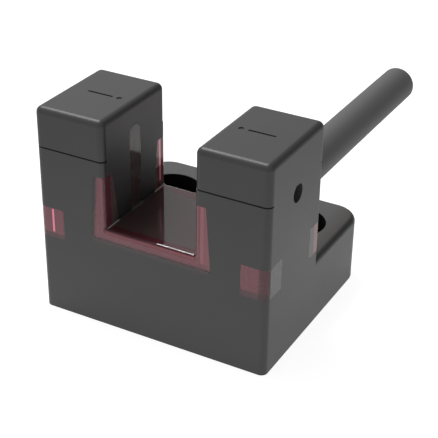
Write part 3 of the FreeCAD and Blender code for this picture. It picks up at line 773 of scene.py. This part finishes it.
core_diameter, wire_diameter = 1.5 * MM, 0.75 * MM
core_start, core_end = -1.45 * MM, cable_end + 0.15 * MM
half_core = core_diameter / 2
core_places = {"brown": (-half_core, -half_core), "white": (half_core, -half_core),
               "blue": (-half_core, half_core), "black": (half_core, half_core)}
core_profile = tube_profile(core_start, core_end, core_diameter / 2, wire_diameter / 2,
                            rim=0.05 * MM, steps=16)
cores = []
for name, (dx, dz) in core_places.items():
    mesh = turned("core_" + name + "_piece", cable_line, core_profile, sides=20,
                  aside=Vector((dx, 0, dz)))
    cores.append(piece_from(mesh, mesh.name, core_finishes[name], replaces=["core_" + name]))
for piece in [jacket] + cores:
    piece.visible_glossy = piece.visible_diffuse = piece.visible_shadow = False
print("jacket faces:", len(jacket_mesh.polygons), "cores:", len(cores))

# %% [markdown]
# ## Copper strands
#
# A conductor is not one wire but a bundle of fine strands, and the cut end shows it. One
# strand is modelled along the cable's line. Geometry Nodes then put a copy at the middle and
# a ring of copies round it, once for each core. The tree has named inputs, so the same tree
# could make a finer bundle.

# %% Strands by Geometry Nodes
class Tree:
    """A Geometry Nodes tree under construction, with named inputs and a material."""

    def __init__(self, name, inputs):
        self.group = bpy.data.node_groups.new(name, "GeometryNodeTree")
        self.keys = {}
        ports = self.group.interface
        for label, kind in {"Geometry": "Geometry", **inputs, "Material": "Material"}.items():
            port = ports.new_socket(label, in_out="INPUT", socket_type="NodeSocket" + kind)
            self.keys[label] = port.identifier
        ports.new_socket("Geometry", in_out="OUTPUT", socket_type="NodeSocketGeometry")
        self.entry = self.group.nodes.new("NodeGroupInput")

    def add(self, kind, settings=None, values=None):
        """The output of a new node of any kind."""
        return new_node(self.group, kind, settings, values).outputs[0]

    def given(self, label):
        """The socket of a named input."""
        return self.entry.outputs[label]

    def end(self, points, shape):
        """Ends the tree: the shape on each point, made real, with the given material."""
        copies = self.add("GeometryNodeInstanceOnPoints", {}, {
            "Points": points, "Instance": shape})
        real = self.add("GeometryNodeRealizeInstances", {}, {"Geometry": copies})
        done = self.add("GeometryNodeSetMaterial", {}, {
            "Geometry": real, "Material": self.given("Material")})
        self.group.links.new(done, self.group.nodes.new("NodeGroupOutput").inputs[0])
        return self

    def run(self, mesh, name, values):
        """The plain mesh that the tree makes from a mesh and the named values."""
        holder = bpy.data.objects.new(name, mesh)
        scene_objects.link(holder)
        modifier = holder.modifiers.new("tree", "NODES")
        modifier.node_group = self.group
        for label, value in values.items():
            modifier[self.keys[label]] = value
        result = plain_mesh(holder)
        result.name = name
        return result


def strand_tree():
    """A strand in the middle and a ring of strands round it."""
    tree = Tree("strand_bundle", {"Strands round the middle": "Int", "Ring radius": "Float"})
    ring = tree.add("GeometryNodeMeshCircle", {}, {
        "Vertices": tree.given("Strands round the middle"), "Radius": tree.given("Ring radius")})
    upright = tree.add("GeometryNodeTransform", {}, {
        "Geometry": ring, "Rotation": (math.radians(90), 0.0, 0.0)})
    middle = tree.add("GeometryNodeMeshLine", {}, {"Count": 1})
    places = tree.add("GeometryNodeJoinGeometry", {}, {"Geometry": middle})
    tree.group.links.new(upright, places.node.inputs["Geometry"])
    return tree.end(places, tree.given("Geometry"))


strand_start, strand_end = -2.85 * MM, cable_end + 0.3 * MM
strand_radius = wire_diameter / 6
strand_profile = ([(strand_start, 0.0)]
                  + [(d, strand_radius) for d in evenly(strand_start, strand_end, 12)]
                  + [(strand_end, 0.0)])
strands = strand_tree()
bundle = bmesh.new()
for name, (dx, dz) in core_places.items():
    one = turned("strand", cable_line, strand_profile, sides=8, aside=Vector((dx, 0, dz)))
    bundle.from_mesh(strands.run(one, "strands_" + name, {
        "Strands round the middle": 6, "Ring radius": 2 * strand_radius, "Material": copper}))
copper_mesh = mesh_from(bundle, "copper_strands")
copper_piece = piece_from(copper_mesh, "copper_strands", copper, replaces=["conductors"])
print("strand faces:", len(copper_mesh.polygons))

# %% [markdown]
# ## Parts on the circuit board
#
# Board parts are bought, so their shapes are standard: a black package with tinned leads, a
# resin body on two wires, or a ceramic chip with tinned ends. One solid per part comes with
# the frame. It could be painted in one colour, but then its leads would look moulded too. So
# its faces are sorted by where they are: faces outside the package's own box are leads.

# %% Packages with leads
def with_leads(node, name, body_finish, *boxes, slack=0.01):
    """A smooth copy of a node, tinned but for its boxes, which are cut from the node's own."""
    mesh = moulded(node, name, body_finish).data
    mesh.materials.append(tin)
    low, high = [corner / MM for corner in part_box(node)]
    for face in mesh.polygons:
        place = face.center / MM
        inside = [all(low[i] + low_cut[i] - slack < place[i] < high[i] - high_cut[i] + slack
                      for i in range(3)) for low_cut, high_cut in boxes]
        face.material_index = 0 if any(inside) else 1
    print(name, "faces of leads:", sum(face.material_index for face in mesh.polygons))


whole, past_the_other = (0, 0, 0), (0, 0, 4.2)
chip_leads, small_leads = (0, 0, 1.0), (0, 0, 0.6)
wire_leads, pin_leads = (0, 1.6, 0), (0, 1.4, 0)
for package in (
        ("controller_chip", "controller_package", compound, (chip_leads, chip_leads)),
        ("output_transistors", "transistor_packages", compound, (small_leads, past_the_other),
         (past_the_other, small_leads)),
        ("emitter_driver", "driver_package", compound, (small_leads, small_leads)),
        ("receiver_amplifier", "amplifier_package", compound, (small_leads, small_leads)),
        ("voltage_regulator", "regulator_package", compound, (small_leads, whole)),
        ("receiver_diode", "receiving_diode", dark_resin, (whole, wire_leads)),
        ("emitter_diode", "sending_diode", clear_resin, (whole, wire_leads)),
        ("trimmer_body", "trimmer_case", trimmer_blue, (whole, pin_leads))):
    with_leads(*package)

# %% [markdown]
# ## Board, slit plates, rotor and ring
#
# These keep the solid's own shape, and only their surface is missing. The board is green
# solder mask over copper tracks, which show as slightly raised lines. The slit plates are
# blackened sheet, so that no stray light gets past the slit. The trimmer's rotor is white,
# so that its screwdriver slot can be seen through the hole in the side, and it rides on the
# body that turns. The crimp ring is tinned, and the tantalum capacitor's case is yellow.

# %% Finished solids
moulded("circuit_board", "printed_board", board_green)
moulded("receiver_slit_plate", "receiving_slit_sheet", dark_sheet)
moulded("emitter_slit_plate", "sending_slit_sheet", dark_sheet)
moulded("trimmer_rotor", "trimmer_disc", white_plastic, body="adjuster")
moulded("crimp_ring", "pressed_ring", tin)
moulded("tantalum_capacitor", "tantalum_case", yellow_case)

# %% [markdown]
# ## Rows of chips and drops of solder
#
# Fourteen chip parts stand in two rows, and every pin ends in a drop of solder. Each is made
# once and repeated. Copying objects in a loop would work, but a tree with named inputs keeps
# the number and the pitch in one place. One tree walks along a line, the other puts a shape
# on each point that it is given. Both end in real geometry, because instances can't leave
# the scene.

# %% Small shapes
def soft_block(across, along, upright, bevel=0.05):
    """A box with rounded edges between two places on each axis, in mm."""
    sheet = bmesh.new()
    bmesh.ops.create_cube(sheet, size=1.0)
    ends = [sorted(pair) for pair in (across, along, upright)]
    for vertex in sheet.verts:
        vertex.co = Vector([(a + b) / 2 + c * (b - a)
                            for (a, b), c in zip(ends, vertex.co)]) * MM
    bmesh.ops.bevel(sheet, geom=sheet.edges[:], offset=bevel * MM, segments=2,
                    affect="EDGES", profile=0.5)
    return mesh_from(sheet, "soft_block", smooth=True)


def assembled(node, name, parts):
    """A piece that stands for a node, from several meshes with materials of their own."""
    sheet = bmesh.new()
    finishes = list(dict.fromkeys(material for _, material in parts))
    for part, material in parts:
        first = len(sheet.faces)
        sheet.from_mesh(part)
        sheet.faces.ensure_lookup_table()
        for face in sheet.faces[first:]:
            face.material_index = finishes.index(material)
    mesh = mesh_from(sheet, name)
    for material in finishes:
        mesh.materials.append(material)
    piece_from(mesh, name, replaces=[node])
    print(name, "faces:", len(mesh.polygons))


def row_tree():
    """Copies of the given shape along a line."""
    tree = Tree("row", {"Count": "Int", "Start": "Vector", "Step": "Vector"})
    line = tree.add("GeometryNodeMeshLine", {}, {
        "Count": tree.given("Count"), "Start Location": tree.given("Start"),
        "Offset": tree.given("Step")})
    return tree.end(line, tree.given("Geometry"))


rows = row_tree()
print("row inputs:", list(rows.keys))

# %% Chip rows
chip_length, chip_width, chip_end, chip_step = 1.6, 0.8, 0.3, 2.6
middle_lower, fillet_overlap, fillet_reach, fillet_height = 0.03, 0.05, 0.3, 0.22


def chip_row(node, name, count, middle):
    """A row of chips with tinned ends and a fillet of solder at each end."""
    low, high = [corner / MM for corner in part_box(node)]
    half, upright = chip_length / 2, (-chip_width / 2, chip_width / 2)
    shapes = [(soft_block((chip_end - half, half - chip_end), (low.y + middle_lower, high.y),
                          upright, 0.04), middle)]
    for side in (-1, 1):
        shapes.append((soft_block((side * (half - chip_end), side * half), (low.y, high.y),
                                  upright, 0.08), tin))
        shapes.append((soft_block((side * (half - fillet_overlap), side * (half + fillet_reach)),
                                  (high.y - fillet_height, high.y), upright, 0.1), tin))
    start = Vector((low.x + half, 0, (low.z + high.z) / 2)) * MM
    made = [(rows.run(shape, name, {"Count": count, "Start": start,
                                    "Step": (chip_step * MM, 0.0, 0.0), "Material": finish}),
             finish) for shape, finish in shapes]
    assembled(node, name, made)


chip_row("chip_capacitors", "capacitor_row", 6, ceramic)
chip_row("chip_resistors", "resistor_row", 8, glaze)

# %% Drops of solder
drop_radius, drop_height = 0.55 * MM, 0.45 * MM


def drop_tree():
    """The given points, each with a drop of solder."""
    tree = Tree("drops", {"Radius": "Float", "Height": "Float"})
    cone = tree.add("GeometryNodeMeshCone", {"fill_type": "NGON"}, {
        "Vertices": 16, "Side Segments": 3, "Radius Top": wire_diameter * 0.45,
        "Radius Bottom": tree.given("Radius"), "Depth": tree.given("Height")})
    turned_back = tree.add("GeometryNodeTransform", {}, {
        "Geometry": cone, "Rotation": (math.radians(-90), 0.0, 0.0)})
    smooth = tree.add("GeometryNodeSetShadeSmooth", {}, {"Geometry": turned_back})
    return tree.end(tree.given("Geometry"), smooth)


def pin_ends(node, behind):
    """Where the pins of a node come out of the board's rear face: one middle for each."""
    groups = {}
    for vertex in frame["nodes"][node].data.vertices:
        if vertex.co.y > behind:
            key = (round(vertex.co.x / MM), round(vertex.co.z / MM))
            near = [k for k in groups if abs(k[0] - key[0]) < 2 and abs(k[1] - key[1]) < 2]
            groups.setdefault(near[0] if near else key, []).append(vertex.co.copy())
    return [(sum(p.x for p in ps) / len(ps), behind, sum(p.z for p in ps) / len(ps))
            for ps in groups.values()]


board_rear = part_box("circuit_board")[1].y
pins = [place for node in ("receiver_diode", "emitter_diode", "trimmer_body")
        for place in pin_ends(node, board_rear)]
points = bpy.data.meshes.new("pins")
points.from_pydata(pins, [], [])
drops = drop_tree().run(points, "solder_drops", {
    "Radius": drop_radius, "Height": drop_height, "Material": tin})
piece_from(drops, "solder_drops")
print("pins:", len(pins), "solder faces:", len(drops.polygons))

# %% [markdown]
# ## Indicator lamps
#
# Each indicator is a small white case with a shallow dish of pale yellow resin, and tinned
# ends. It looks away from the board, so the two in front face forwards and the two behind
# face backwards. One function makes all four from the box of their node.

# %% Indicators
amber_resin = grained_plastic("amber_resin", (0.60, 0.46, 0.10), (0.72, 0.56, 0.15), 0.15,
                              grain_mm=0.5, grain_depth_mm=0.001)
tinned_end, dish_rim, end_set_back, dish_proud, dish_sunk = 0.32, 0.18, 0.35, 0.015, 0.1


def indicator(node, name, looks_forward):
    """A white case with a dish of resin on the side that looks away from the board."""
    low, high = [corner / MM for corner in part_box(node)]
    face, foot = (low.y, high.y) if looks_forward else (high.y, low.y)
    inward = 1 if looks_forward else -1
    across, end_depth = (low.x, high.x), (face + end_set_back * inward, foot)
    dish_depth = (face - dish_proud * inward, face + dish_sunk * inward)
    case_foot, case_top = low.z + tinned_end, high.z - tinned_end
    assembled(node, name, [
        (soft_block(across, (face, foot), (case_foot, case_top)), white_plastic),
        (soft_block(across, end_depth, (low.z, case_foot)), tin),
        (soft_block(across, end_depth, (case_top, high.z)), tin),
        (soft_block((low.x + dish_rim, high.x - dish_rim), dish_depth,
                    (case_foot + dish_rim, case_top - dish_rim)), amber_resin)])


for corner in ("left_front", "right_front", "left_rear", "right_rear"):
    indicator(corner + "_led", "indicator_" + corner, corner.endswith("front"))

# %% [markdown]
# ## Floor
#
# The picture is a product shot on pure white, with hardly a shadow. A white room does that:
# the floor is large, pale and glows a little by itself, so that the shadow under the part
# fades away. In mirror rays it glows less, as paper at a grazing angle does, or the black
# sides would look grey, and it does so more the further it is from the part.

# %% Floor
floor_half, floor_below = 1.5, 0.02 * MM
near_mm, far_mm = 20.0, 75.0


def floor_finish():
    """A pale floor that glows, and glows less in mirror rays."""
    paint = Paint("pale_floor")
    x, y, _ = paint.coordinates()
    near = 1 - (x * x + y * y).ramp(near_mm ** 2, far_mm ** 2)
    level = paint.blend(near, (0.38, 0.38, 0.38), (0.8, 0.8, 0.8))
    mirrored = paint.add("ShaderNodeLightPath", output="Is Glossy Ray")
    return paint.finish(paint.surface({
        "Base Color": paint.blend(paint.noise(60.0), (0.34, 0.34, 0.34), (0.36, 0.36, 0.36)),
        "Roughness": 0.9, "Specular IOR Level": 0.1, "Emission Strength": 0.87,
        "Emission Color": paint.blend(mirrored, (1, 1, 1), level)}))


floor_mesh = bpy.data.meshes.new("floor")
floor_mesh.from_pydata([(x * floor_half, y * floor_half, -floor_below)
                        for x, y in ((-1, -1), (1, -1), (1, 1), (-1, 1))], [], [(0, 1, 2, 3)])
floor_mesh.materials.append(floor_finish())
floor = bpy.data.objects.new("floor", floor_mesh)
scene_objects.link(floor)
print("floor:", floor_half * 2, "m wide")

# %% [markdown]
# ## Sky
#
# Black plastic shows mostly what it mirrors, so the sky decides how its sides look. It is
# an even pale grey, darker behind the right and brighter above the rear left. A world is
# made of nodes as a material is, so the same class puts it together.

# %% Sky
class Sky(Paint):
    """A world that is put together like a material."""

    library = "worlds"

    def toward(self, direction, outer=0.60, inner=0.95):
        """1 for rays near that direction and 0 away from it, between two cosines."""
        ray = self.add("ShaderNodeTexCoord", output="Generated")
        return self.add("ShaderNodeVectorMath", {"operation": "DOT_PRODUCT"}, {
            0: ray, 1: Vector(direction).normalized()}, output="Value").ramp(outer, inner)


sky = Sky("sky")
dark_side, bright_side = sky.toward((0.60, 0.72, 0.30)), sky.toward((-0.45, 0.60, 0.66))
level = (1 - dark_side * 0.9) * (bright_side * 0.34 + 0.5)
background = sky.add("ShaderNodeBackground", {}, {"Color": colour(1, 1, 1), "Strength": level})
sky.add("ShaderNodeOutputWorld", {}, {"Surface": background})
bpy.context.scene.world = sky.owner
bpy.context.scene.view_settings.view_transform = "Standard"
print("sky nodes:", len(sky.tree.nodes))

# %% [markdown]
# ## Lamp
#
# A lamp could be a point, but a point draws hard spots on plastic. One large soft square
# stands high over the rear left instead. It draws the bright lines along the upper edges
# and looks at the middle of the part.

# %% Lamp
lamp_place, lamp_target = Vector((-164, 60, 360)) * MM, Vector((0, 0, 15)) * MM
lamp_data = bpy.data.lights.new("key_lamp", "AREA")
lamp_data.shape, lamp_data.size, lamp_data.energy = "SQUARE", 150 * MM, 1.0
key_lamp = bpy.data.objects.new("key_lamp", lamp_data)
turn = (lamp_target - lamp_place).to_track_quat("-Z", "Y").to_matrix().to_4x4()
key_lamp.matrix_world = Matrix.Translation(lamp_place) @ turn
scene_objects.link(key_lamp)
print("lamp:", key_lamp.name, "of", lamp_data.energy, "W")
